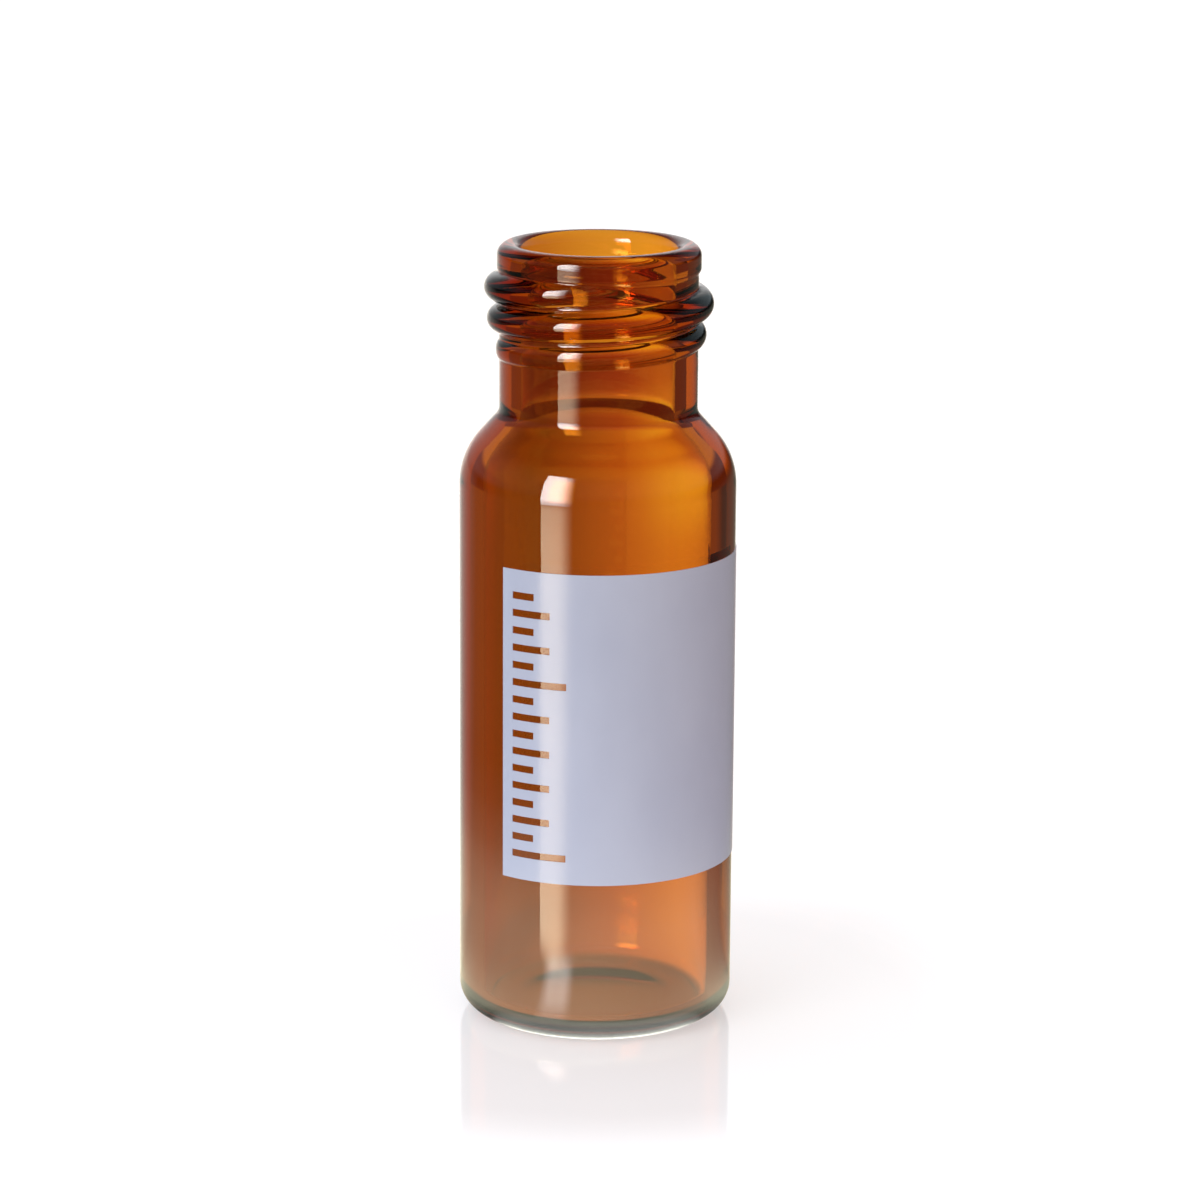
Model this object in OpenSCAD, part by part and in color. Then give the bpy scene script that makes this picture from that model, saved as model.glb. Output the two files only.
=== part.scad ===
/* Short-neck screw-thread sample vial in amber glass, with a fired write-on patch.
   Lengths are in millimetres, angles in degrees and volumes in millilitres.
   The vial stands on Z = 0 with its axis on Z, and its front faces -Y. */

/* [Overall] */
// Height from the resting face to the top of the lip
total_h = 32.4; // [26:0.1:40]
// Outer diameter of the barrel
barrel_d = 11.4; // [9.5:0.1:14]

/* [Glass] */
// Wall of the barrel
barrel_wall = 1; // [0.7:0.05:1.3]
// Thickness of the floor inside the heel
floor_t = 0.75; // [0.6:0.05:1.6]
// Rounding of the outer bottom edge
heel_r = 1.1; // [0.6:0.1:2]
// Rounding inside, where the wall meets the floor
floor_corner_r = 0.6; // [0.3:0.1:2]
// Diameter of the shallow hollow under the base
dish_d = 6.7; // [4:0.1:7.2]
// Depth of the hollow under the base
dish_depth = 0.15; // [0.05:0.05:0.4]

/* [Neck and shoulder] */
// Outer diameter of the plain neck
neck_d = 8.15; // [6.75:0.05:8.75]
// Diameter of the mouth
mouth_d = 6.3; // [4.8:0.1:7.2]
// Length of the neck, from the top of the lip to the shoulder
neck_h = 6.7; // [5.5:0.05:8.1]
// Steepness of the shoulder's straight flank above the level
shoulder_slope = 48; // [40:1:60]
// Rounding where the barrel turns into the shoulder
shoulder_r = 3.15; // [1.5:0.05:4]
// Rounding where the shoulder turns into the neck
neck_fillet = 0.6; // [0.3:0.1:1.2]
// How far the lip stands out around the neck
lip_bead = 0.1; // [0.05:0.01:0.2]
// Rounding of the lip's two edges, before the lip's own width limits it
lip_r = 0.6; // [0.2:0.05:0.8]

/* [Thread] */
// Height of the thread's ridge above the neck
thread_depth = 0.62; // [0.4:0.01:0.8]
// Width of the ridge where it leaves the neck, before the rise in one turn limits it
thread_width = 1.25; // [0.8:0.05:1.5]
// Rise in one turn
thread_pitch = 1.28; // [1:0.02:1.6]
// Turns, from the ridge's upper end to its lower end
thread_turns = 3; // [2.5:0.1:3.2]
// Depth of the ridge's upper end below the top of the lip
thread_drop = 1.35; // [1:0.05:1.9]
// Place of the upper end, counter-clockwise from +X seen from above
thread_start = 305; // [0:5:355]
// Turns in which the ridge rises to its full height at the upper end
lead_in = 0.3; // [0.2:0.1:0.8]
// Turns in which the ridge sinks away at the lower end
run_out = 2; // [0.5:0.1:2]

/* [Write-on patch] */
// Thickness of the fired enamel
patch_t = 0.03; // [0.02:0.01:0.1]
// Width of the patch, measured around the barrel
patch_w = 13.4; // [12:0.1:18]
// Height of the patch's lower edge above the resting face
patch_lift = 6.9; // [5:0.1:9]
// Plain glass between the patch's upper edge and the shoulder
patch_gap = 2.6; // [1:0.05:4]
// Place of the patch's left edge around the barrel, from the front
patch_left = -41.5; // [-60:0.5:-20]

/* [Graduations] */
// Volume between two neighbouring marks
mark_step = 0.05; // [0.05:0.05:0.25]
// Thickness of a mark
mark_t = 0.3; // [0.2:0.05:0.4]
// Length of every tenth mark, measured around the barrel
mark_long = 2.4; // [2:0.05:3.2]
// Length of every other mark that is not a long one
mark_middle = 1.7; // [1.2:0.05:2]
// Length of the marks in between
mark_short = 1; // [0.6:0.05:1.1]
// Enamel left between the patch's left edge and the marks
mark_inset = 0.5; // [0.3:0.05:1]
// Least enamel left above the top mark and below the bottom one
mark_margin = 0.6; // [0.3:0.05:1.5]

/* [Hidden] */

$fn = 96;

// The glass in section
barrel_r = barrel_d / 2;
bore_r = barrel_r - barrel_wall;
neck_r = neck_d / 2;
mouth_r = mouth_d / 2;
lip_outer_r = neck_r + lip_bead;
lip_round = min(lip_r, (lip_outer_r - mouth_r) / 2.1);
dish_sphere_r = (pow(dish_d / 2, 2) + pow(dish_depth, 2)) / (2 * dish_depth);

// The shoulder turns through this angle, from upright to its straight flank
shoulder_turn = 90 - shoulder_slope;

// The neck starts at neck_foot, and the shoulder starts at barrel_top
neck_foot = total_h - neck_h;
barrel_top = neck_foot - shoulder_height(barrel_r, neck_r, shoulder_r, neck_fillet);

// The inner shoulder is parallel to the outer one, and its fillet follows the neck's wall
inner_shoulder_r = shoulder_r - barrel_wall;
inner_fillet = neck_fillet + barrel_wall;

// The thread's ridge is built from rings of points, and its foot is sunk in the neck's wall
rings_per_turn = 40;
crest_steps = 6;
foot_sink = 0.05;
root_sink = 0.3;
least_width = 0.4;

// One turn of the ridge stays clear of the next
turn_gap = 0.03;
ridge_width = min(thread_width, thread_pitch - turn_gap);

// The patch lies on the barrel between these heights
patch_bottom = patch_lift;
patch_top = barrel_top - patch_gap;
front = 270;
cut_clear = 0.5;

// Roundings keep their size unless the step they share is too small for both
function rounding_share(r_body, r_neck, r_turn, r_fillet) =
    min(1, 0.95 * (r_body - r_neck) / ((r_turn + r_fillet) * (1 - cos(shoulder_turn))));

// Radius lost to the two roundings, length of the flank between them, and height of all three
function flank_step(r_body, r_neck, r_turn, r_fillet) =
    r_body - r_neck
    - rounding_share(r_body, r_neck, r_turn, r_fillet) * (r_turn + r_fillet) * (1 - cos(shoulder_turn));
function shoulder_height(r_body, r_neck, r_turn, r_fillet) =
    rounding_share(r_body, r_neck, r_turn, r_fillet) * (r_turn + r_fillet) * sin(shoulder_turn)
    + flank_step(r_body, r_neck, r_turn, r_fillet) / tan(shoulder_turn);

// Volume that the rounded corner at the floor takes up: its area, swept around at its centroid
corner_area = (1 - PI / 4) * pow(floor_corner_r, 2);
corner_centroid_r = bore_r - floor_corner_r * (10 - 3 * PI) / (12 - 3 * PI);
corner_loss = corner_area * 2 * PI * corner_centroid_r;

// Height of the liquid's surface at a volume, and the volume below a height
function level(volume) = floor_t + (1000 * volume + corner_loss) / (PI * pow(bore_r, 2));
function volume_at(height) = (PI * pow(bore_r, 2) * (height - floor_t) - corner_loss) / 1000;
first_mark = ceil(volume_at(patch_bottom + mark_margin) / mark_step);
last_mark = floor(volume_at(patch_top - mark_margin) / mark_step);

// Angle that a length measured around the barrel takes up
function around(length) = 360 * length / (PI * barrel_d);
function mark_length(n) = n % 10 == 0 ? mark_long : n % 2 == 0 ? mark_middle : mark_short;

// Half-section of a bottle: body, rounded shoulder, filleted neck and rounded bottom corner
module bottle_section(r_body, r_neck, r_turn, r_fillet, r_corner, z_floor, z_shoulder, z_end) {
    share = rounding_share(r_body, r_neck, r_turn, r_fillet);
    turn = r_turn * share;
    fillet = r_fillet * share;
    flank_low = [r_body - turn * (1 - cos(shoulder_turn)), z_shoulder + turn * sin(shoulder_turn)];
    z_neck = z_shoulder + shoulder_height(r_body, r_neck, r_turn, r_fillet);
    fillet_centre = [r_neck + fillet, z_neck];
    flank_high = [
        fillet_centre.x - fillet * cos(shoulder_turn),
        fillet_centre.y - fillet * sin(shoulder_turn)
    ];

    // Body with its rounded bottom corner
    translate([0, z_floor]) square([r_body - r_corner, r_corner]);
    translate([0, z_floor + r_corner]) square([r_body, z_shoulder - z_floor - r_corner]);
    translate([r_body - r_corner, z_floor + r_corner]) circle(r_corner);

    // Rounding at the top of the body, kept to the positive side of the axis
    intersection() {
        translate([r_body - turn, z_shoulder]) circle(turn);
        translate([0, z_shoulder]) square([r_body, turn]);
    }

    // Straight flank, and the fillet that is hollowed out of its top
    polygon([[0, z_shoulder], [r_body - turn, z_shoulder], flank_low, flank_high, [0, flank_high.y]]);
    difference() {
        polygon([[0, flank_high.y], flank_high, fillet_centre, [0, z_neck]]);
        translate(fillet_centre) circle(fillet);
    }
    translate([0, z_neck]) square([r_neck, z_end - z_neck]);
}

// Half-section of the lip: a ring with both its upper edges rounded
module lip_section() {
    z = total_h - lip_round;
    between = lip_outer_r - mouth_r - 2 * lip_round;
    translate([lip_outer_r - lip_round, z]) circle(lip_round);
    translate([mouth_r + lip_round, z]) circle(lip_round);
    translate([mouth_r + lip_round, z - lip_round]) square([between, 2 * lip_round]);
}

// Half-section of the whole vial
module glass_section() {
    difference() {
        bottle_section(
            barrel_r, neck_r, shoulder_r, neck_fillet, heel_r, 0, barrel_top, total_h - lip_round);
        bottle_section(
            bore_r, mouth_r, inner_shoulder_r, inner_fillet, floor_corner_r, floor_t, barrel_top,
            total_h + lip_round);
        intersection() {
            translate([0, dish_depth - dish_sphere_r]) circle(dish_sphere_r, $fn = 360);
            square([dish_d / 2, dish_depth]);
        }
    }
    lip_section();
}

// Share of the full ridge at a place p along it, counted in turns from its upper end
function clamped(t) = max(0, min(1, t));
function eased(t) = t * t * (3 - 2 * t);
function ridge_share(p) = eased(clamped(p / lead_in)) * clamped((thread_turns - p) / run_out);

// One ring of the ridge: over its rounded face from below to above, then back inside the wall
function ridge_ring(p) =
    let (
        share = ridge_share(p),
        half_width = ridge_width * (least_width + (1 - least_width) * share) / 2,
        height = (foot_sink + thread_depth) * share,
        turned = thread_start - 360 * p,
        middle = total_h - thread_drop - thread_pitch * p,
        foot_r = neck_r - foot_sink,
        root_r = neck_r - root_sink,
        steps = [for (i = [0:crest_steps]) 180 * i / crest_steps],
        face = [for (a = steps) [foot_r + height * sin(a), -half_width * cos(a)]],
        outline = concat([[root_r, -half_width]], face, [[root_r, half_width]])
    )
    [for (q = outline) [q.x * cos(turned), q.x * sin(turned), middle + q.y]];

// The ridge's solid: rings joined by triangles, closed by a fan at each end
module thread_ridge() {
    rings = ceil(rings_per_turn * thread_turns);
    size = crest_steps + 3;
    points = [for (k = [0:rings]) each ridge_ring(thread_turns * k / rings)];
    sides = [
        for (k = [0:rings - 1], j = [0:size - 1])
            let (a = k * size + j, b = k * size + (j + 1) % size)
                each [[a, a + size, b], [b, a + size, b + size]]
    ];
    upper_end = [for (j = [1:size - 2]) [0, j, j + 1]];
    last = rings * size;
    lower_end = [for (j = [1:size - 2]) [last, last + j + 1, last + j]];
    polyhedron(points, concat(sides, upper_end, lower_end));
}

// One piece of glass: barrel, shoulder, neck, lip and moulded thread
module glass_vial() {
    color("#9a4a16") {
        rotate_extrude() glass_section();
        thread_ridge();
    }
}

// Part of a ring around the barrel, from angle a through the angle sweep
module barrel_band(a, sweep, r_in, r_out, z, h) {
    rotate([0, 0, a]) rotate_extrude(angle = sweep) translate([r_in, z]) square([r_out - r_in, h]);
}

// Fired enamel on the barrel, with the marks left open in its left column
module marking_patch() {
    color("#c6cbdd") difference() {
        barrel_band(
            front + patch_left, around(patch_w), barrel_r, barrel_r + patch_t, patch_bottom,
            patch_top - patch_bottom);
        for (n = [first_mark:last_mark])
            barrel_band(
                front + patch_left + around(mark_inset), around(mark_length(n)), barrel_r - cut_clear,
                barrel_r + cut_clear, level(n * mark_step) - mark_t / 2, mark_t);
    }
}

glass_vial();
marking_patch();
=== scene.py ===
"""Looks of the amber screw-neck sample vial: glass, fired enamel, light table and studio light.

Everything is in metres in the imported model's frame. The vial stands on Z = 0 and its front faces -Y.
"""

import math

import bpy
import numpy as np
from mathutils import Matrix, Vector


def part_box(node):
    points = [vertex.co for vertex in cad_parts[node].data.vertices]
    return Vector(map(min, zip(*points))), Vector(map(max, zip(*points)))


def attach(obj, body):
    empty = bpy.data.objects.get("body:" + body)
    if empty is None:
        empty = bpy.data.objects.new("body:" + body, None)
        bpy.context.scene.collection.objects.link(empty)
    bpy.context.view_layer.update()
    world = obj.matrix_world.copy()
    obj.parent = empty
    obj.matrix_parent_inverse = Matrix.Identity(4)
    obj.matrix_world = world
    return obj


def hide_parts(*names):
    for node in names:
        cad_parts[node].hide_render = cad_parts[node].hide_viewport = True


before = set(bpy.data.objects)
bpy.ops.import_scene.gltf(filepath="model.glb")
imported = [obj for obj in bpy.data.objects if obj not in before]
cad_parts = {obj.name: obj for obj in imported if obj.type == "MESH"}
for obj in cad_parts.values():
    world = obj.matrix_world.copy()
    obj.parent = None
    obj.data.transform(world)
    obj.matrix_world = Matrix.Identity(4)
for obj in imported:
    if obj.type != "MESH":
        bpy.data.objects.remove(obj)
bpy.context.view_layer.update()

MM = 0.001
TAU = 2 * math.pi

# The glass in section, in the sizes of the CAD part
GLASS_LOW, GLASS_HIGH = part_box("glass_vial")
PATCH_LOW, PATCH_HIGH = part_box("marking_patch")

TOTAL_H = GLASS_HIGH.z
BARREL_R = GLASS_HIGH.x
BARREL_WALL = 1.0 * MM
BORE_R = BARREL_R - BARREL_WALL
FLOOR_T = 0.75 * MM
HEEL_R = 1.1 * MM
FLOOR_CORNER_R = 0.6 * MM
DISH_R = 3.35 * MM
DISH_DEPTH = 0.15 * MM
NECK_R = 4.075 * MM
MOUTH_R = 3.15 * MM
NECK_H = 6.7 * MM
SHOULDER_TURN = math.radians(42)  # of its flank, from upright
SHOULDER_R = 3.15 * MM
NECK_FILLET = 0.6 * MM
LIP_OUTER_R = NECK_R + 0.1 * MM
LIP_ROUND = (LIP_OUTER_R - MOUTH_R) / 2.1
LIP_STEP = 0.3 * MM

# The thread's ridge, which runs down and clockwise from its upper end
THREAD_DEPTH = 0.62 * MM
THREAD_WIDTH = 1.25 * MM
THREAD_PITCH = 1.28 * MM
THREAD_TURNS = 3
THREAD_DROP = 1.35 * MM
THREAD_START = math.radians(305)
THREAD_LEAD_IN = 0.3
THREAD_RUN_OUT = 2
THREAD_SINK = 0.05 * MM
THREAD_LEAST_WIDTH = 0.4
THREAD_FOOT_BLEND = 0.3 * MM
THREAD_FOOT_SLOPE = 2.5
LIP_TOP_FREE = 0.05 * MM

# The enamel patch and its marks
PATCH_T = 0.03 * MM
PATCH_SINK = 0.004 * MM
PATCH_LEFT = math.radians(270 - 41.5)
PATCH_W = 13.4 * MM
MARK_T = 0.3 * MM
MARK_STEP_ML = 0.05
MARK_LENGTHS = {"long": 2.4 * MM, "middle": 1.7 * MM, "short": 1.0 * MM}
MARK_INSET = 0.5 * MM
MARK_MARGIN = 0.6 * MM

# Steps of the glass's mesh around the vial and up its neck
COLUMNS = 300
NECK_STEPS = 142


# ---------------------------------------------------------------- node helpers


def as_colour(value):
    return value if isinstance(value, tuple) else (value,) * 3


def new_material(name):
    material = bpy.data.materials.new(name)
    material.use_nodes = True
    material.node_tree.nodes.clear()
    return material, Tree(material.node_tree)


class Tree:
    """A node tree with short ways to add nodes and link them."""

    def __init__(self, tree):
        self.tree = tree

    def add(self, kind, **settings):
        node = self.tree.nodes.new(kind)
        for name, value in settings.items():
            setattr(node, name, value)
        return node

    def link(self, source, target):
        self.tree.links.new(source, target)

    def math(self, operation, a, b=0.0):
        node = self.add("ShaderNodeMath", operation=operation)
        for socket, value in zip(node.inputs, (a, b)):
            if isinstance(value, (int, float)):
                socket.default_value = value
            else:
                self.link(value, socket)
        return node.outputs[0]

    def ramp(self, factor, stops):
        node = self.add("ShaderNodeValToRGB")
        elements = node.color_ramp.elements
        while len(elements) < len(stops):
            elements.new(0.5)
        for element, (place, colour) in zip(elements, stops):
            element.position = place
            element.color = (*colour, 1)
        self.link(factor, node.inputs["Fac"])
        return node.outputs["Color"]

    def map_range(self, value, low, high, to_low, to_high, smooth=False):
        node = self.add("ShaderNodeMapRange", clamp=True)
        node.interpolation_type = "SMOOTHSTEP" if smooth else "LINEAR"
        self.link(value, node.inputs["Value"])
        numbers = ("From Min", low), ("From Max", high), ("To Min", to_low), ("To Max", to_high)
        for name, number in numbers:
            node.inputs[name].default_value = number
        return node.outputs["Result"]

    def noise(self, vector, scale, detail):
        node = self.add("ShaderNodeTexNoise")
        node.inputs["Scale"].default_value = scale
        node.inputs["Detail"].default_value = detail
        self.link(vector, node.inputs["Vector"])
        return node.outputs["Fac"]

    def stretched(self, scale):
        """The object's coordinates in metres, scaled along each axis."""
        coordinates = self.add("ShaderNodeTexCoord").outputs["Object"]
        node = self.add("ShaderNodeMapping")
        node.inputs["Scale"].default_value = scale
        self.link(coordinates, node.inputs["Vector"])
        return node.outputs["Vector"]

    def scaled(self, colour, factor):
        node = self.add("ShaderNodeVectorMath", operation="SCALE")
        self.link(colour, node.inputs["Vector"])
        self.link(factor, node.inputs["Scale"])
        return node.outputs["Vector"]

    def mix_shader(self, factor, first, second):
        node = self.add("ShaderNodeMixShader")
        self.link(factor, node.inputs["Fac"])
        self.link(first, node.inputs[1])
        self.link(second, node.inputs[2])
        return node.outputs[0]

    def sum_shader(self, first, second):
        node = self.add("ShaderNodeAddShader")
        self.link(first, node.inputs[0])
        self.link(second, node.inputs[1])
        return node.outputs[0]

    def around(self, direction, stops):
        """A colour by direction seen from the vial: degrees to the right of straight behind it."""
        split = self.add("ShaderNodeSeparateXYZ")
        self.link(direction, split.inputs[0])
        turn = self.math("ARCTAN2", split.outputs["X"], split.outputs["Y"])
        share = self.map_range(turn, -math.pi, math.pi, 0.0, 1.0)
        return self.ramp(share, [((degrees + 180) / 360, as_colour(value)) for degrees, value in stops])

    def emission(self, colour, strength):
        node = self.add("ShaderNodeEmission")
        for socket, value in (node.inputs["Color"], colour), (node.inputs["Strength"], strength):
            if isinstance(value, (int, float, tuple)):
                socket.default_value = value
            else:
                self.link(value, socket)
        return node.outputs[0]


# ---------------------------------------------------------------- materials


def amber_glass():
    """Amber borosilicate: clear at the surface, coloured by the light's way through it."""
    material, tree = new_material("amber_glass")
    glass = tree.add("ShaderNodeBsdfPrincipled")
    glass.inputs["Base Color"].default_value = (1, 1, 1, 1)
    glass.inputs["IOR"].default_value = 1.51
    glass.inputs["Transmission Weight"].default_value = 1.0

    # Faint handling marks dull the gloss in soft clouds
    clouds = tree.noise(tree.stretched((1, 1, 1)), 420, 3)
    tree.link(tree.map_range(clouds, 0.55, 0.8, 0.0, 0.035), glass.inputs["Roughness"])

    # Drawn tubing has faint lines along its length
    lines = tree.noise(tree.stretched((1, 1, 0.02)), 900, 2)
    bump = tree.add("ShaderNodeBump")
    bump.inputs["Strength"].default_value = 0.06
    bump.inputs["Distance"].default_value = 0.02 * MM
    tree.link(lines, bump.inputs["Height"])
    tree.link(bump.outputs[0], glass.inputs["Normal"])

    amber = tree.add("ShaderNodeVolumeAbsorption")
    amber.inputs["Color"].default_value = (0.90, 0.648, 0.02, 1)
    amber.inputs["Density"].default_value = 2100

    output = tree.add("ShaderNodeOutputMaterial")
    tree.link(glass.outputs[0], output.inputs["Surface"])
    tree.link(amber.outputs[0], output.inputs["Volume"])
    return material


def fired_enamel():
    """Cool white fired enamel, printed through a screen: dense, half matt and a little mottled."""
    material, tree = new_material("fired_enamel")
    enamel = tree.add("ShaderNodeBsdfPrincipled")
    enamel.inputs["IOR"].default_value = 1.5

    patches = tree.noise(tree.stretched((1, 1, 0.6)), 260, 3)
    mottle = tree.ramp(patches, [(0.3, (0.495, 0.53, 0.635)), (0.7, (0.545, 0.58, 0.68))])
    tree.link(mottle, enamel.inputs["Base Color"])

    grain = tree.noise(tree.stretched((1, 1, 1)), 9000, 2)
    tree.link(tree.map_range(grain, 0.2, 0.8, 0.16, 0.26), enamel.inputs["Roughness"])
    bump = tree.add("ShaderNodeBump")
    bump.inputs["Strength"].default_value = 0.25
    bump.inputs["Distance"].default_value = 0.004 * MM
    tree.link(grain, bump.inputs["Height"])
    tree.link(bump.outputs[0], enamel.inputs["Normal"])

    output = tree.add("ShaderNodeOutputMaterial")
    tree.link(enamel.outputs[0], output.inputs["Surface"])
    return material


# ---------------------------------------------------------------- geometry


def arc(centre_r, centre_z, radius, start, end, steps):
    """Points (r, z) along an arc, with its angles in radians from the outward direction."""
    angles = np.linspace(start, end, steps + 1)
    return [(centre_r + radius * math.cos(a), centre_z + radius * math.sin(a)) for a in angles]


def straight(start, end, steps):
    """Points (r, z) along a line, without its two ends."""
    shares = np.arange(1, steps) / steps
    return [(start[0] + (end[0] - start[0]) * s, start[1] + (end[1] - start[1]) * s) for s in shares]


def shoulder_height(r_body, r_neck, r_turn, r_fillet):
    """Height of a shoulder: its rounding, its straight flank and the fillet at the neck."""
    lost = (r_turn + r_fillet) * (1 - math.cos(SHOULDER_TURN))
    return (r_turn + r_fillet) * math.sin(SHOULDER_TURN) + (r_body - r_neck - lost) / math.tan(SHOULDER_TURN)


NECK_FOOT = TOTAL_H - NECK_H
BARREL_TOP = NECK_FOOT - shoulder_height(BARREL_R, NECK_R, SHOULDER_R, NECK_FILLET)


def eased(t):
    return t * t * (3 - 2 * t)


def outer_profile():
    """The outside from the centre of the base up to the crown of the lip, as points (r, z)."""
    dish_sphere = (DISH_R**2 + DISH_DEPTH**2) / (2 * DISH_DEPTH)
    half = math.asin(DISH_R / dish_sphere)
    dish = [
        (dish_sphere * math.sin(a), DISH_DEPTH - dish_sphere * (1 - math.cos(a)))
        for a in np.linspace(0, half, 11)[1:]
    ]
    heel_start = (BARREL_R - HEEL_R, 0)
    heel = arc(BARREL_R - HEEL_R, HEEL_R, HEEL_R, -math.pi / 2, 0, 14)
    shoulder = arc(BARREL_R - SHOULDER_R, BARREL_TOP, SHOULDER_R, 0, SHOULDER_TURN, 16)
    fillet = arc(NECK_R + NECK_FILLET, NECK_FOOT, NECK_FILLET, math.pi + SHOULDER_TURN, math.pi, 9)
    lip_low = TOTAL_H - 2 * LIP_ROUND
    neck = straight((NECK_R, NECK_FOOT), (NECK_R, lip_low - LIP_STEP), NECK_STEPS)
    step = [
        (NECK_R + (LIP_OUTER_R - NECK_R) * eased(s), lip_low - LIP_STEP + LIP_STEP * s)
        for s in np.linspace(0, 1, 9)
    ]
    lip = arc(LIP_OUTER_R - LIP_ROUND, TOTAL_H - LIP_ROUND, LIP_ROUND, 0, math.pi / 2, 16)
    return (
        dish
        + straight(dish[-1], heel_start, 4)
        + heel
        + straight(heel[-1], shoulder[0], 10)
        + shoulder
        + straight(shoulder[-1], fillet[0], 5)
        + fillet
        + neck
        + step
        + straight(step[-1], lip[0], 6)
        + lip
    )


def inner_profile():
    """The inside from the crown of the lip down to the centre of the floor, as points (r, z)."""
    turn_r = SHOULDER_R - BARREL_WALL
    fillet_r = NECK_FILLET + BARREL_WALL
    neck_foot = BARREL_TOP + shoulder_height(BORE_R, MOUTH_R, turn_r, fillet_r)
    lip = arc(MOUTH_R + LIP_ROUND, TOTAL_H - LIP_ROUND, LIP_ROUND, math.pi / 2, math.pi, 12)
    fillet = arc(MOUTH_R + fillet_r, neck_foot, fillet_r, math.pi, math.pi + SHOULDER_TURN, 12)
    shoulder = arc(BORE_R - turn_r, BARREL_TOP, turn_r, SHOULDER_TURN, 0, 12)
    corner = arc(BORE_R - FLOOR_CORNER_R, FLOOR_T + FLOOR_CORNER_R, FLOOR_CORNER_R, 0, -math.pi / 2, 12)
    return (
        lip
        + straight(lip[-1], fillet[0], 12)
        + fillet
        + straight(fillet[-1], shoulder[0], 3)
        + shoulder
        + straight(shoulder[-1], corner[0], 16)
        + corner
        + straight(corner[-1], (0, FLOOR_T), 8)
    )


def ridge_radius(angle, z):
    """Radius of the thread's face at every angle and height, or 0 where there is no ridge."""
    radius = np.zeros(np.broadcast(angle, z).shape)
    first = (THREAD_START - angle) / TAU % 1
    for turn in range(-1, THREAD_TURNS + 1):
        p = first + turn
        rise = eased(np.clip(p / THREAD_LEAD_IN, 0, 1))
        share = rise * np.clip((THREAD_TURNS - p) / THREAD_RUN_OUT, 0, 1)
        share = np.where((p < 0) | (p > THREAD_TURNS), 0, share)
        width = THREAD_WIDTH * (THREAD_LEAST_WIDTH + (1 - THREAD_LEAST_WIDTH) * share)
        crest_z = TOTAL_H - THREAD_DROP - THREAD_PITCH * p
        across = 2 * np.abs(z - crest_z) / width
        face = (THREAD_SINK + THREAD_DEPTH) * share * np.sqrt(np.clip(1 - across**2, 0, None))
        beyond = THREAD_FOOT_SLOPE * np.clip(across - 1, 0, None) * width / 2
        sink = THREAD_SINK + THREAD_FOOT_BLEND * (1 - share) ** 4
        radius = np.maximum(radius, NECK_R - sink + face - beyond)
    return radius


def blended_max(a, b, blend):
    """The larger of two radii, with a small fillet where they cross."""
    near = np.clip(blend - np.abs(a - b), 0, None) / blend
    return np.maximum(a, b) + near**2 * blend / 4


def wall_ripple(angle, z):
    """How far the inside of a drawn tube strays from a true cylinder."""
    slow = 0.5 * np.sin(2 * angle + 0.7) + 0.3 * np.sin(3 * angle + 2.1 + 60 * z)
    fine = 0.25 * np.sin(7 * angle + 1.3) + 0.15 * np.sin(11 * angle + 4.0 - 90 * z)
    return 0.012 * MM * (slow + fine)


def as_columns(profile):
    """The radii and the heights of a profile, as two columns of numbers."""
    r, z = np.array(profile).T[:, :, None]
    return r, z


def glass_vertices():
    """Rings of vertices from the base's centre over the outside and the lip to the floor's centre."""
    a = np.arange(COLUMNS)[None, :] * TAU / COLUMNS

    r, z = as_columns(outer_profile())
    threaded = (z > NECK_FOOT) & (z < TOTAL_H - LIP_TOP_FREE)
    ridge = ridge_radius(a, z)
    out_r = np.where(threaded, blended_max(r, ridge, THREAD_FOOT_BLEND), r)
    outer_rings = np.stack([out_r * np.cos(a), out_r * np.sin(a), z + 0 * a], -1)

    # The ripple fades out towards the middle of the floor
    r, z = as_columns(inner_profile())
    in_bore = np.clip((r - 2 * MM) / MM, 0, 1)
    in_r = r + wall_ripple(a, z) * in_bore
    inner_rings = np.stack([in_r * np.cos(a), in_r * np.sin(a), z + 0 * a], -1)
    return np.concatenate([outer_rings, inner_rings[1:]])


def closed_shell(rings, low_centre, high_centre):
    """Vertices and faces of a shell: rings joined in order, with a fan at each end."""
    count, size = rings.shape[:2]
    vertices = [*map(tuple, rings.reshape(-1, 3)), low_centre, high_centre]
    low, high = count * size, count * size + 1
    faces = [
        (k * size + j, k * size + (j + 1) % size, (k + 1) * size + (j + 1) % size, (k + 1) * size + j)
        for k in range(count - 1)
        for j in range(size)
    ]
    faces += [(low, (j + 1) % size, j) for j in range(size)]
    last = (count - 1) * size
    faces += [(high, last + j, last + (j + 1) % size) for j in range(size)]
    return vertices, faces


def new_piece(name, vertices, faces, material):
    mesh = bpy.data.meshes.new(name)
    mesh.from_pydata(vertices, [], faces)
    mesh.validate()
    mesh.shade_smooth()
    mesh.materials.append(material)
    piece = bpy.data.objects.new(name, mesh)
    bpy.context.scene.collection.objects.link(piece)
    return piece


def build_glass():
    """The vial: one closed skin of glass, with its moulded thread, rounded lip and heel."""
    vertices, faces = closed_shell(glass_vertices(), (0, 0, DISH_DEPTH), (0, 0, FLOOR_T))
    piece = new_piece("vial_glass", vertices, faces, amber_glass())
    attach(piece, "root")
    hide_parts("glass_vial")


def liquid_height(volume_ml):
    """Height of the liquid's surface at a volume, with the rounded corner at the floor."""
    corner_area = (1 - math.pi / 4) * FLOOR_CORNER_R**2
    centroid = BORE_R - FLOOR_CORNER_R * (10 - 3 * math.pi) / (12 - 3 * math.pi)
    volume = volume_ml * 1e-6 + corner_area * TAU * centroid
    return FLOOR_T + volume / (math.pi * BORE_R**2)


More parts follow.
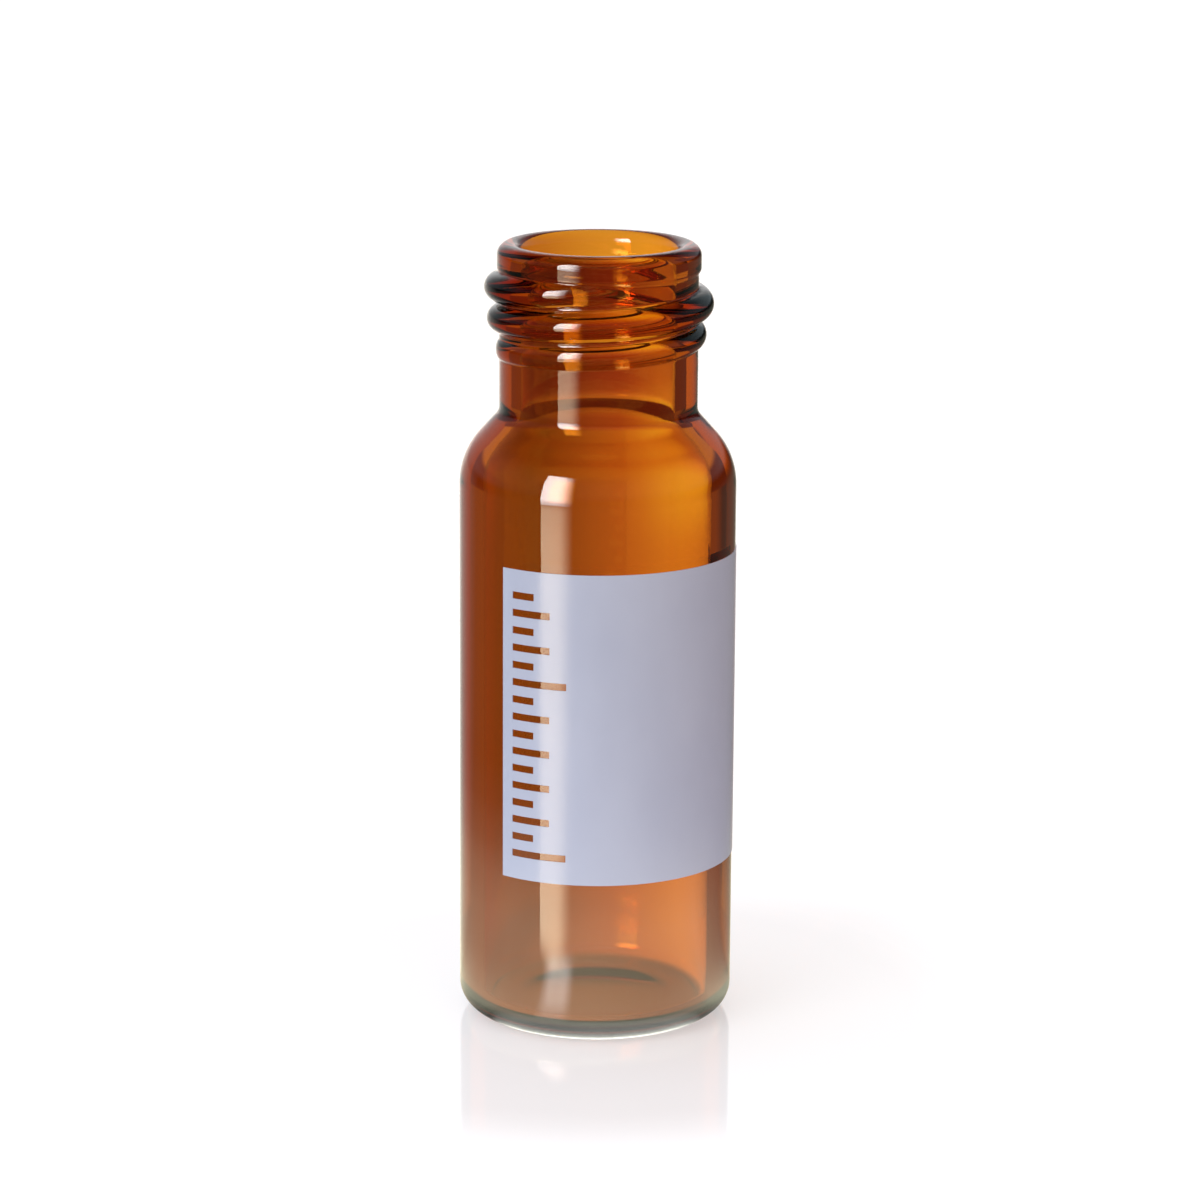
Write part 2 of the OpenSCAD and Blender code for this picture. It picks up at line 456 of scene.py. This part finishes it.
def mark_rows():
    """The marks from the lowest up, each as (low edge, high edge, length)."""
    rows = []
    n = 1
    while liquid_height(n * MARK_STEP_ML) < PATCH_HIGH.z - MARK_MARGIN:
        z = liquid_height(n * MARK_STEP_ML)
        kind = "long" if n % 10 == 0 else "middle" if n % 2 == 0 else "short"
        if z > PATCH_LOW.z + MARK_MARGIN:
            rows.append((z - MARK_T / 2, z + MARK_T / 2, MARK_LENGTHS[kind]))
        n += 1
    return rows


def patch_cells(columns, heights, marks):
    """Which cells of the patch's grid are enamel, as rows of True and False."""
    filled = np.ones((len(heights) - 1, len(columns) - 1), bool)
    for k, (low, high) in enumerate(zip(heights, heights[1:])):
        middle = (low + high) / 2
        for mark_low, mark_high, length in marks:
            if mark_low < middle < mark_high:
                centre = (columns[:-1] + columns[1:]) / 2
                filled[k] &= ~((centre > MARK_INSET) & (centre < MARK_INSET + length))
    return filled


def build_patch():
    """The enamel: a thin curved sheet on the barrel, with the marks left open down to the glass."""
    marks = mark_rows()
    edges = sorted({MARK_INSET, *(MARK_INSET + m[2] for m in marks)})
    columns = np.array(sorted({*np.linspace(0, PATCH_W, 121), *edges}))
    columns = columns[np.append(True, np.diff(columns) > 1e-9)]
    heights = [PATCH_LOW.z, *(z for m in marks for z in m[:2]), PATCH_HIGH.z]
    filled = patch_cells(columns, heights, marks)

    angles = PATCH_LEFT + columns / BARREL_R
    inside, outside = BARREL_R - PATCH_SINK, BARREL_R + PATCH_T
    vertices = [
        (r * math.cos(a), r * math.sin(a), z) for r in (inside, outside) for z in heights for a in angles
    ]
    across, layer = len(angles), len(angles) * len(heights)

    def corner(side, k, j):
        return side * layer + k * across + j

    def is_filled(k, j):
        return 0 <= k < filled.shape[0] and 0 <= j < filled.shape[1] and filled[k, j]

    faces = []
    for k, j in zip(*np.nonzero(filled)):
        k, j = int(k), int(j)
        ring = [(k, j), (k, j + 1), (k + 1, j + 1), (k + 1, j)]
        faces.append([corner(1, *q) for q in ring])
        faces.append([corner(0, *q) for q in reversed(ring)])
        neighbours = [(k - 1, j), (k, j + 1), (k + 1, j), (k, j - 1)]
        for side, neighbour in enumerate(neighbours):
            if not is_filled(*neighbour):
                a, b = ring[side], ring[(side + 1) % 4]
                faces.append([corner(0, *a), corner(0, *b), corner(1, *b), corner(1, *a)])

    piece = new_piece("enamel_patch", vertices, faces, fired_enamel())
    piece.data.set_sharp_from_angle(angle=math.radians(40))
    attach(piece, "root")
    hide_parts("marking_patch")


# ---------------------------------------------------------------- stage and light


def only_seen_by(thing, glossy=False, transmission=False):
    """Hides a studio card from the camera, from diffuse light and from shadows."""
    thing.visible_camera = False
    thing.visible_diffuse = False
    thing.visible_shadow = False
    thing.visible_volume_scatter = False
    thing.visible_glossy = glossy
    thing.visible_transmission = transmission


def new_card(name, corners, material):
    """A flat studio card from its four corners, starting lower left as seen from the vial."""
    mesh = bpy.data.meshes.new(name)
    mesh.from_pydata(corners, [], [(0, 1, 2, 3)])
    uv = mesh.uv_layers.new(name="UVMap")
    for loop, place in zip(uv.data, [(0, 0), (1, 0), (1, 1), (0, 1)]):
        loop.uv = place
    mesh.materials.append(material)
    card = bpy.data.objects.new(name, mesh)
    bpy.context.scene.collection.objects.link(card)
    return card


def standing_card(name, distance, azimuth, half_width, low, high, material):
    """An upright card that faces the vial. Azimuth 0 is behind the vial, and 90 to its right."""
    a = math.radians(azimuth)
    centre = Vector((math.sin(a), math.cos(a), 0)) * distance
    side = Vector((math.cos(a), -math.sin(a), 0)) * half_width
    corners = [centre - side, centre + side, centre + side, centre - side]
    heights = [low, low, high, high]
    return new_card(name, [(c.x, c.y, z) for c, z in zip(corners, heights)], material)


# The studio around the vial, as (degrees to the right of straight behind, brightness).
# Mirrored on the vial it is white behind, flagged off close to the right, and dark in front.
DARK = (0.045, 0.065, 0.085)
MIRRORED = [
    (-62, 0.02), (-45, 0.22), (-29, 0.45), (-14, 0.9), (-9, 1.0), (9, 1.0), (15, 0.3), (22, 0.02),
    (180, 0.02),
]
MIRRORED_HIGH = [
    (-110, DARK), (-75, (0.14, 0.18, 0.2)), (-45, (0.25, 0.29, 0.31)), (-29, 0.45), (-14, 0.9), (-9, 1.0),
    (9, 1.0), (15, 0.6), (22, (0.3, 0.36, 0.39)), (75, (0.16, 0.2, 0.22)), (110, DARK), (180, DARK),
]

# The soft light on the enamel and the table
FILL = [
    (-180, (0.95, 0.89, 0.84)), (-135, (0.79, 0.85, 0.97)), (-90, (0.77, 0.88, 1.08)), (0, (0.75, 0.7, 0.7)),
    (60, (0.42, 0.28, 0.26)), (100, (0.40, 0.26, 0.24)), (140, (0.92, 0.73, 0.64)), (180, (0.95, 0.89, 0.84)),
]

# The glow of the table close to the vial, mirrored on it, by direction and by millimetres away
NEAR_COLOUR = (1.0, 0.97, 0.7, 1)
NEAR_STRENGTH = 3.0
NEAR_GLOW = [
    (-180, 1.0), (-150, 1.0), (-115, 0.85), (-90, 0.5), (-65, 0.27), (-20, 0.15), (20, 0.15), (40, 0.1),
    (65, 0.12), (80, 0.35), (100, 0.8), (140, 0.88), (180, 1.0),
]
NEAR_FADE = [
    (5.5, 0.0), (6.2, 0.3), (7.6, 1.1), (8.5, 1.2), (10, 1.15), (12, 1.05), (14, 1.0), (20, 0.97),
    (26, 0.7), (31, 0.33), (38, 0.08), (45, 0.0),
]

# The same at the very foot of the vial, where it lights the heel
HEEL_COLOUR = (1.0, 1.04, 0.95, 1)
HEEL_STRENGTH = 3.6
HEEL_GLOW = [
    (-180, 0.97), (-147, 0.7), (-138, 0.62), (-130, 0.35), (-123, 0.06), (-90, 0.03), (90, 0.03), (120, 0.08),
    (128, 0.35), (136, 0.62), (142, 0.74), (160, 0.9), (180, 0.97),
]
HEEL_FADE = [(4, 1.0), (6.5, 1.0), (8, 0.0)]

# A painted reflection: the foot of the softbox's mirror image, painted on the table as a stripe of glow
PAINTED_STREAK_COLOUR = (1.0, 0.95, 0.93, 1)
PAINTED_STREAK_STRENGTH = 5.5
PAINTED_STREAK_GLOW = [(-166, 0.0), (-160, 1.0), (-150, 1.0), (-144, 0.0), (180, 0.0)]
PAINTED_STREAK_FADE = [(7, 0.0), (8.5, 0.3), (10.5, 0.9), (12, 1.0), (15.5, 1.0), (18, 0.0)]

# What the light that the glass wall turns aside by total reflection finds: near the vial from the
# barrel, in a ring around it from the neck, high up from the shoulder
TURNED_FOOT = [
    (-180, (0.42, 0.3, 0.24)), (-10, (0.42, 0.3, 0.24)), (10, (0.55, 0.45, 0.36)), (44, (0.6, 0.5, 0.4)),
    (54, (0.3, 0.18, 0.12)), (140, (0.3, 0.18, 0.12)), (180, (0.42, 0.3, 0.24)),
]
TURNED_NEAR = [
    (-180, (0.4, 0.28, 0.2)), (-20, (0.46, 0.28, 0.2)), (-3, (0.46, 0.28, 0.2)), (4, (0.1, 0.065, 0.05)),
    (25, (0.08, 0.05, 0.035)), (38, (0.1, 0.06, 0.04)), (49, (0.34, 0.19, 0.13)), (180, (0.34, 0.19, 0.13)),
]
TURNED_NECK = [
    (-180, (0.32, 0.14, 0.1)), (-10, (0.32, 0.14, 0.1)), (10, (0.2, 0.08, 0.05)), (180, (0.2, 0.08, 0.05)),
]
TURNED_FAR = [
    (-180, (0.75, 0.6, 0.6)), (-20, (0.85, 0.7, 0.7)), (0, (0.8, 0.7, 0.65)), (180, (0.85, 0.73, 0.65)),
]

# The same on the card behind, from its foot up, as (millimetres to the right, colour)
TURNED_CARD_LOW = [
    (-5, (0.6, 0.42, 0.35)), (-1, (0.5, 0.35, 0.3)), (2, (0.6, 0.55, 0.45)), (6, (0.65, 0.6, 0.5)),
]
TURNED_CARD_HIGH = [
    (-5, (0.6, 0.27, 0.2)), (-1, (0.4, 0.2, 0.15)), (2, (0.15, 0.08, 0.06)), (6, (0.2, 0.12, 0.1)),
]
TURNED_CARD_TOP = [
    (-5, (0.65, 0.32, 0.24)), (-1, (0.5, 0.25, 0.2)), (2, (0.55, 0.3, 0.22)), (6, (0.85, 0.5, 0.36)),
]

# The soft light that reaches the enamel's inner side through the glass
GATHERED = (4.0, 3.6, 3.4, 1)

# A painted shadow under the vial: the dim colour that light which has crossed the base finds on
# the table under it
SHADE_UNDER_BASE = (0.36, 0.23, 0.28, 1)

# What light that has crossed the vial finds beyond the card
BEYOND = [(-180, (0.3, 0.2, 0.2)), (-5, (0.3, 0.2, 0.2)), (5, (0.7, 0.48, 0.4)), (180, (0.7, 0.48, 0.4))]

# The card behind the vial, as (millimetres to the right, colour): dark and warm left, bright right,
# and brighter on the right behind the shoulder
CARD_LOW = [
    (-12, (0.50, 0.21, 0.2)),
    (-9.5, (0.39, 0.20, 0.2)),
    (-7, (0.33, 0.20, 0.2)),
    (-4, (0.31, 0.195, 0.2)),
    (-0.8, (0.54, 0.31, 0.3)),
    (1.3, (0.73, 0.42, 0.4)),
    (2.6, (0.86, 0.56, 0.5)),
    (5.5, (1.15, 0.93, 0.8)),
    (9, (1.22, 1.0, 0.85)),
]
CARD_HIGH = [
    (-12, (0.62, 0.25, 0.2)),
    (-9.5, (0.45, 0.20, 0.2)),
    (-7, (0.33, 0.20, 0.2)),
    (-4, (0.29, 0.18, 0.18)),
    (-0.8, (0.54, 0.30, 0.3)),
    (1.3, (0.76, 0.43, 0.4)),
    (2.6, (0.97, 0.72, 0.55)),
    (5.5, (1.36, 1.5, 1.0)),
    (9, (1.6, 1.85, 1.2)),
]

# The same card through a single wall of glass, and in the table's mirror image of the vial
CARD_WARM = [(-3.36, (0.7, 0.38, 0.12)), (0, (0.88, 0.54, 0.14)), (2.88, (1.05, 0.68, 0.16))]
CARD_MIRRORED = (0.28, 0.27, 0.3, 1)

# How the card dims towards the neck, as (millimetres up, colour)
CARD_NECK = [
    (21, (1.0, 1.0, 1.0)),
    (22.5, (0.92, 0.72, 0.8)),
    (24.5, (0.6, 0.31, 0.4)),
    (27.5, (0.43, 0.22, 0.35)),
]

# Sizes of the card, in millimetres
CARD_HALF_WIDTH = 12.0
CARD_HEIGHT = 45.0
CARD_DISTANCE = 12.0

# The table, a hair below the base so that the two faces don't meet
FLOOR_HALF_WIDTH = 3.0
FLOOR_GAP = 0.02 * MM

# The stops of the glow on the table reach so many millimetres. A ray that it lights comes no
# farther over the table than from a circle of this radius, with a little for its slope.
GLOW_SPAN = 100.0
GLOW_FROM_R = 4.9 * MM
GLOW_SLOPE = 1.07

# The softbox, front left, upright on the table
SOFTBOX_AZIMUTH = 180 + 33
SOFTBOX_DISTANCE = 0.22
SOFTBOX_HALF_ANGLE = math.radians(14)
SOFTBOX_HEIGHT = 0.175
SOFTBOX_COLOUR = (1.0, 0.98, 0.95, 1)
SOFTBOX_STRENGTH = 18.0

# The lamp for the enamel and the table
KEY_PLACE = (-0.35, -0.35, 0.35)
KEY_SIZE = 0.35
KEY_POWER = 0.9
KEY_COLOUR = (0.96, 0.98, 1.0)

# The photograph's camera, fitted to the vial's outline
CAMERA_PLACE = (0.114 * MM, -169.49 * MM, 58.485 * MM)
CAMERA_DOWN = math.radians(13.60)
CAMERA_ROLL = math.radians(0.359)
CAMERA_LENS = 126.4
CAMERA_SENSOR = 36


def turned_aside(tree, light_path):
    """1 for rays that only the wall's inside has reflected, without crossing the bore."""
    reflected = tree.math("GREATER_THAN", light_path["Glossy Depth"], 0.5)
    one_wall = tree.math("LESS_THAN", light_path["Transmission Depth"], 2.5)
    return tree.math("MULTIPLY", reflected, one_wall)


def gathered(tree, light_path, shader, bright):
    """The shader, but bright for the soft light that reaches the enamel's inner side."""
    soft = tree.math("GREATER_THAN", light_path["Diffuse Depth"], 0.5)
    inside = tree.math("GREATER_THAN", light_path["Transmission Depth"], 4.5)
    return tree.mix_shader(tree.math("MULTIPLY", soft, inside), shader, bright)


def card_colour(tree, share, stops):
    """The card's colours from its left edge, share 0, to its right edge, share 1."""
    return tree.ramp(share, [((x / CARD_HALF_WIDTH + 1) / 2, colour) for x, colour in stops])


def near_glow(tree, place, distance, fade, sides, colour, strength):
    """The table's glow beside the vial, by how far away and by which side.

    Only rays from the foot of the vial find it. A ray from the thread has come a longer way than one
    from the barrel's side, and is left out.
    """
    share = tree.math("MULTIPLY", distance, 1 / (GLOW_SPAN * MM))
    share = tree.ramp(share, [(mm / GLOW_SPAN, as_colour(value)) for mm, value in fade])
    share = tree.math("MULTIPLY", share, tree.around(place, sides))
    ray_length = tree.add("ShaderNodeLightPath").outputs["Ray Length"]
    reach = tree.math("SUBTRACT", tree.math("POWER", distance, 2.0), GLOW_FROM_R**2)
    reach = tree.math("MULTIPLY", tree.math("SQRT", tree.math("MAXIMUM", reach, 0.0)), GLOW_SLOPE)
    beyond = tree.math("SUBTRACT", ray_length, reach)
    share = tree.math("MULTIPLY", share, tree.map_range(beyond, 0.3 * MM, 1.6 * MM, 1.0, 0.0))
    return tree.emission(colour, tree.math("MULTIPLY", share, strength))


def build_floor():
    """A white light table. It keeps a soft shadow and a faint mirror image of the vial."""
    material, tree = new_material("light_table")
    light_path = tree.add("ShaderNodeLightPath").outputs
    geometry = tree.add("ShaderNodeNewGeometry").outputs
    place = geometry["Position"]
    distance = tree.add("ShaderNodeVectorMath", operation="LENGTH")
    tree.link(place, distance.inputs[0])
    distance = distance.outputs["Value"]
    split = tree.add("ShaderNodeSeparateXYZ")
    tree.link(place, split.inputs[0])

    def fading(low, high, to_low=0.0, to_high=1.0):
        """A soft change with the distance from the vial's axis, in millimetres."""
        return tree.map_range(distance, low * MM, high * MM, to_low, to_high, smooth=True)

    # What the camera sees: white with a soft shadow, and polished close to the vial
    lit = tree.add("ShaderNodeBsdfDiffuse")
    lit.inputs["Color"].default_value = (0.6, 0.6, 0.6, 1)
    table = tree.sum_shader(lit.outputs[0], tree.emission((1, 1, 1, 1), 0.64))
    mirror = tree.add("ShaderNodeBsdfGlossy")
    mirror.inputs["Roughness"].default_value = 0.05
    sheen = tree.add("ShaderNodeFresnel").outputs[0]
    polished = tree.math("MULTIPLY", sheen, fading(13, 20, 1.4, 0.0))
    seen = tree.mix_shader(polished, table, mirror.outputs[0])

    # Through the glass, the table behind the vial carries on the card's colours, and under the base
    # it shows an even painted shadow
    across = tree.map_range(split.outputs["X"], -CARD_HALF_WIDTH * MM, CARD_HALF_WIDTH * MM, 0.0, 1.0)
    graded = tree.emission(card_colour(tree, across, CARD_LOW), 1.0)
    behind = tree.map_range(split.outputs["Y"], -6 * MM, 0.0, 0.0, 1.0)
    through = tree.mix_shader(behind, seen, graded)
    # The painted shadow on the table under the base
    through = tree.mix_shader(fading(4.8, 6.3), tree.emission(SHADE_UNDER_BASE, 1.0), through)
    foot, near, neck = (
        tree.emission(tree.around(place, stops), 1.0)
        for stops in (TURNED_FOOT, TURNED_NEAR, TURNED_NECK)
    )
    turned = tree.mix_shader(fading(12, 26), foot, near)
    turned = tree.mix_shader(fading(118, 128), turned, neck)
    through = tree.mix_shader(turned_aside(tree, light_path), through, turned)
    through = gathered(tree, light_path, through, tree.emission(GATHERED, 1.0))

    # Mirrored on the vial, the table glows close to it and mirrors the softbox warmly, and the foot of
    # the softbox's mirror image is a painted reflection on it. The barrel, whose rays come down at a flat
    # angle, mirrors more of the glow than what is looked at steeply.
    slant = tree.add("ShaderNodeLayerWeight").outputs["Facing"]
    flat = tree.map_range(slant, 0.18, 0.36, 0.0, NEAR_STRENGTH)
    near = near_glow(tree, place, distance, NEAR_FADE, NEAR_GLOW, NEAR_COLOUR, flat)
    heel = near_glow(tree, place, distance, HEEL_FADE, HEEL_GLOW, HEEL_COLOUR, HEEL_STRENGTH)
    # The foot of the softbox's mirror image, painted on the table as a reflection
    painted_streak = near_glow(tree, place, distance, PAINTED_STREAK_FADE, PAINTED_STREAK_GLOW, PAINTED_STREAK_COLOUR, PAINTED_STREAK_STRENGTH)
    warm_mirror = tree.add("ShaderNodeBsdfGlossy")
    warm_mirror.inputs["Color"].default_value = (0.5, 0.42, 0.3, 1)
    warm_mirror.inputs["Roughness"].default_value = 0.03
    mirrored = tree.sum_shader(tree.emission((1, 1, 1, 1), tree.around(place, MIRRORED)), near)
    mirrored = tree.sum_shader(tree.sum_shader(mirrored, heel), painted_streak)
    mirrored = tree.sum_shader(mirrored, warm_mirror.outputs[0])

    # To all other light it is a plain pale table that throws a little cool light back up
    plain = tree.add("ShaderNodeBsdfDiffuse")
    plain.inputs["Color"].default_value = (0.8, 0.8, 0.8, 1)
    bounce = tree.map_range(distance, 4 * MM, 30 * MM, 0.5, 0.0)
    lighting = tree.sum_shader(plain.outputs[0], tree.emission((0.65, 0.9, 1.6, 1), bounce))
    surface = tree.mix_shader(light_path["Is Glossy Ray"], lighting, mirrored)
    surface = tree.mix_shader(light_path["Is Transmission Ray"], surface, through)
    surface = tree.mix_shader(light_path["Is Camera Ray"], surface, seen)

    # From below the table is clear, so that the base can be looked at
    clear = tree.add("ShaderNodeBsdfTransparent")
    surface = tree.mix_shader(geometry["Backfacing"], surface, clear.outputs[0])
    output = tree.add("ShaderNodeOutputMaterial")
    tree.link(surface, output.inputs["Surface"])

    half = FLOOR_HALF_WIDTH
    corners = [(-half, -half, 0), (half, -half, 0), (half, half, 0), (-half, half, 0)]
    floor = new_card("floor", corners, material)
    floor.location.z = -FLOOR_GAP


def build_world():
    """White where it is seen or shines through the glass, flagged where it is mirrored."""
    world = bpy.data.worlds.new("studio")
    bpy.context.scene.world = world
    world.use_nodes = True
    world.node_tree.nodes.clear()
    tree = Tree(world.node_tree)
    light_path = tree.add("ShaderNodeLightPath").outputs
    direction = tree.add("ShaderNodeTexCoord").outputs["Generated"]
    split = tree.add("ShaderNodeSeparateXYZ")
    tree.link(direction, split.inputs[0])

    def background(colour):
        node = tree.add("ShaderNodeBackground")
        if isinstance(colour, tuple):
            node.inputs["Color"].default_value = colour
        else:
            tree.link(colour, node.inputs["Color"])
        return node.outputs[0]

    # Seen through the glass, the studio is dim overhead
    overhead = tree.map_range(split.outputs["Z"], 0.12, 0.45, 1.0, 0.25, smooth=True)
    through = background(tree.scaled(tree.around(direction, BEYOND), overhead))
    high_up = tree.map_range(split.outputs["Z"], 0.1, 0.2, 0.0, 1.0, smooth=True)
    turned_low = background(tree.around(direction, TURNED_NECK))
    turned = tree.mix_shader(high_up, turned_low, background(tree.around(direction, TURNED_FAR)))
    through = tree.mix_shader(turned_aside(tree, light_path), through, turned)
    through = gathered(tree, light_path, through, background(GATHERED))

    # Mirrored on the glass, it is dark overhead as well
    low = tree.map_range(split.outputs["Z"], 0.35, 0.75, 1.0, 0.04, smooth=True)
    rising = tree.map_range(split.outputs["Z"], 0.02, 0.14, 0.0, 1.0, smooth=True)
    mirrored = tree.mix_shader(
        rising,
        background(tree.scaled(tree.around(direction, MIRRORED), low)),
        background(tree.scaled(tree.around(direction, MIRRORED_HIGH), low)),
    )

    # The soft light around is cool from the left and dim and pinkish from the right
    fill = background(tree.around(direction, FILL))
    surface = tree.mix_shader(light_path["Is Glossy Ray"], fill, mirrored)
    surface = tree.mix_shader(light_path["Is Transmission Ray"], surface, through)
    surface = tree.mix_shader(light_path["Is Camera Ray"], surface, background((1, 1, 1, 1)))
    output = tree.add("ShaderNodeOutputWorld")
    tree.link(surface, output.inputs["Surface"])


def build_softbox():
    """A tall softbox front left. It stands on the table and fades at one edge and at its foot."""
    material, tree = new_material("softbox")
    uv = tree.add("ShaderNodeTexCoord").outputs["UV"]
    split = tree.add("ShaderNodeSeparateXYZ")
    tree.link(uv, split.inputs[0])
    across = tree.map_range(split.outputs["X"], 0.0, 0.55, 0.0, 1.0, smooth=True)
    foot = tree.map_range(split.outputs["Y"], 0.0, 0.2, 0.5, 1.0, smooth=True)
    light_path = tree.add("ShaderNodeLightPath").outputs

    # Only its lower part shows in the table's mirror image of the vial
    second = tree.math("GREATER_THAN", light_path["Glossy Depth"], 1.5)
    upper = tree.map_range(split.outputs["Y"], 0.38, 0.4, 0.0, 1.0)
    kept = tree.math("SUBTRACT", 1.0, tree.math("MULTIPLY", second, upper))
    fade = tree.math("MULTIPLY", tree.math("MULTIPLY", across, foot), kept)
    glow = tree.emission(SOFTBOX_COLOUR, tree.math("MULTIPLY", fade, SOFTBOX_STRENGTH))
    output = tree.add("ShaderNodeOutputMaterial")
    tree.link(glow, output.inputs["Surface"])
    sizes = SOFTBOX_DISTANCE * math.tan(SOFTBOX_HALF_ANGLE), 0, SOFTBOX_HEIGHT
    card = standing_card("softbox", SOFTBOX_DISTANCE, SOFTBOX_AZIMUTH, *sizes, material)
    only_seen_by(card, glossy=True, transmission=True)


def build_backdrop():
    """A graduated card close behind the vial, which dims towards the neck."""
    material, tree = new_material("graduated_card")
    light_path = tree.add("ShaderNodeLightPath").outputs
    uv = tree.add("ShaderNodeTexCoord").outputs["UV"]
    split = tree.add("ShaderNodeSeparateXYZ")
    tree.link(uv, split.inputs[0])
    across, height = split.outputs["X"], split.outputs["Y"]

    def fading(low, high, to_low=0.0, to_high=1.0):
        """A soft change with the height, in millimetres."""
        return tree.map_range(height, low / CARD_HEIGHT, high / CARD_HEIGHT, to_low, to_high, smooth=True)

    neck = tree.ramp(height, [(mm / CARD_HEIGHT, colour) for mm, colour in CARD_NECK])
    colours = tree.add("ShaderNodeMix", data_type="RGBA")
    tree.link(fading(16.5, 20), colours.inputs[0])
    tree.link(card_colour(tree, across, CARD_LOW), colours.inputs[6])
    tree.link(card_colour(tree, across, CARD_HIGH), colours.inputs[7])
    colour = tree.add("ShaderNodeVectorMath", operation="MULTIPLY")
    tree.link(colours.outputs[2], colour.inputs[0])
    tree.link(neck, colour.inputs[1])
    graded = tree.emission(colour.outputs["Vector"], 1.0)

    # A single wall, as at the back of the mouth, glows warmly
    single = tree.math("LESS_THAN", light_path["Transmission Depth"], 2.5)
    warm = tree.emission(card_colour(tree, across, CARD_WARM), 1.0)
    glow = tree.mix_shader(single, graded, warm)

    # The table mirrors the vial against a dim card
    mirrored = tree.math("GREATER_THAN", light_path["Glossy Depth"], 0.5)
    glow = tree.mix_shader(mirrored, glow, tree.emission(CARD_MIRRORED, 1.0))

    # Light that the wall turns aside finds it darker right, and brighter at the foot
    low, high, top = (
        tree.emission(card_colour(tree, across, stops), 1.0)
        for stops in (TURNED_CARD_LOW, TURNED_CARD_HIGH, TURNED_CARD_TOP)
    )
    shoulder = tree.math("MULTIPLY", fading(20.5, 23), fading(27, 28.5, 1.0, 0.0))
    turned = tree.mix_shader(fading(0, 6), low, high)
    turned = tree.mix_shader(shoulder, turned, top)
    direct = tree.math("LESS_THAN", light_path["Glossy Depth"], 1.5)
    direct = tree.math("MULTIPLY", direct, turned_aside(tree, light_path))
    glow = tree.mix_shader(direct, glow, turned)
    glow = gathered(tree, light_path, glow, tree.emission(GATHERED, 1.0))

    output = tree.add("ShaderNodeOutputMaterial")
    tree.link(glow, output.inputs["Surface"])
    sizes = CARD_DISTANCE * MM, 0, CARD_HALF_WIDTH * MM, 0, CARD_HEIGHT * MM
    card = standing_card("graduated_card", *sizes, material)
    only_seen_by(card, transmission=True)


def build_key_light():
    """A large soft lamp at the left, above the camera. It lights the enamel and the table."""
    lamp = bpy.data.lights.new("key", "AREA")
    lamp.shape = "DISK"
    lamp.size = KEY_SIZE
    lamp.energy = KEY_POWER
    lamp.color = KEY_COLOUR
    key = bpy.data.objects.new("key", lamp)
    bpy.context.scene.collection.objects.link(key)
    key.location = KEY_PLACE
    key.rotation_mode = "QUATERNION"
    towards = Vector((0, 0, TOTAL_H / 2)) - Vector(KEY_PLACE)
    key.rotation_quaternion = towards.to_track_quat("-Z", "Y")
    key.visible_glossy = False
    key.visible_transmission = False
    key.visible_camera = False


def build_camera():
    """The photograph's view: a little above the vial, with a long lens and a slight roll."""
    data = bpy.data.cameras.new("camera")
    data.sensor_width = CAMERA_SENSOR
    data.lens = CAMERA_LENS
    data.clip_start = 0.01
    data.clip_end = 20
    camera = bpy.data.objects.new("camera", data)
    bpy.context.scene.collection.objects.link(camera)
    tilt = Matrix.Rotation(math.pi / 2 - CAMERA_DOWN, 4, "X")
    roll = Matrix.Rotation(CAMERA_ROLL, 4, "Z")
    camera.matrix_world = Matrix.Translation(CAMERA_PLACE) @ tilt @ roll
    bpy.context.scene.camera = camera


build_camera()
build_glass()
build_patch()
build_floor()
build_world()
build_softbox()
build_backdrop()
build_key_light()

bpy.context.scene.view_settings.view_transform = "Standard"
